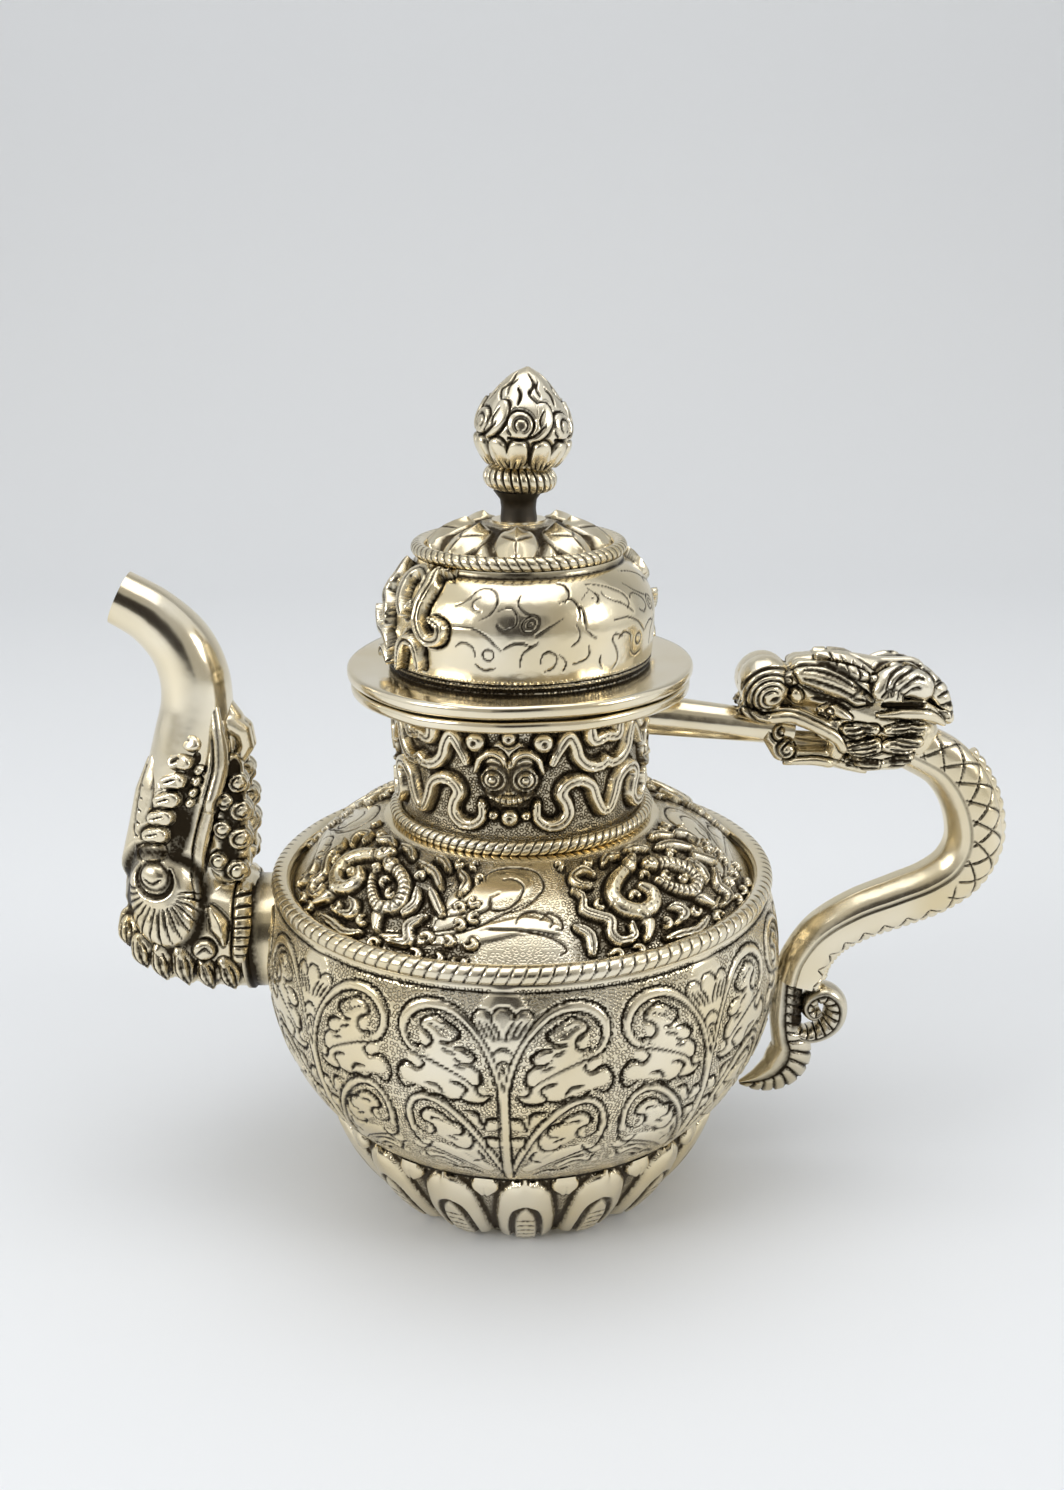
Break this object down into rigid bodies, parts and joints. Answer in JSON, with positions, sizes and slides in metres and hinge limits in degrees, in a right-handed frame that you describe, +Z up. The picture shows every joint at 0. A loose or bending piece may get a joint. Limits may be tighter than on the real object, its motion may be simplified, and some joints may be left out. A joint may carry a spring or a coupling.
{
  "type": "lidded pouring pot",
  "caption": "Chased silver pouring pot with a lift-off domed lid, lotus-petal foot, sea-beast spout and dragon handle.",
  "frame": {"origin": "centre of the flat base on the pot's axis, at the surface it stands on", "axes": "+X towards the handle, -X towards the spout, +Z up"},
  "size_m": [0.1752, 0.102, 0.1628],
  "materials": {
    "chased_silver": "warm polished silver with dark patina in the chased ground",
    "cast_silver": "cast and chased silver, dark in the recesses",
    "dull_silver": "dull oxidised silver"
  },
  "bodies": {
    "pot": {"base_disc": "dull_silver", "lotus_foot": "chased_silver", "bowl": "chased_silver", "shoulder": "chased_silver", "belly_rope": "chased_silver", "neck_collar": "chased_silver", "neck_rope": "chased_silver", "rim_plate": "chased_silver", "spout_socket": "chased_silver", "makara_head": "cast_silver", "spout_tube": "chased_silver", "handle_post": "chased_silver", "dragon_head": "cast_silver", "handle_grip": "chased_silver", "back_strip": "chased_silver", "tail_leaf": "cast_silver", "tail_scroll": "cast_silver"},
    "lid": {"lid_flange": "chased_silver", "lid_bezel": "dull_silver", "lid_drum": "chased_silver", "lid_rope": "chased_silver", "lid_rosette": "cast_silver", "finial_stem": "dull_silver", "finial_washer": "dull_silver", "finial_collar": "cast_silver", "finial_bud": "cast_silver"}
  },
  "joints": [
    {"name": "lid_lift", "type": "slide", "parent": "pot", "child": "lid", "axis": [0, 0, 1], "range_m": [0, 0.06]}
  ]
}
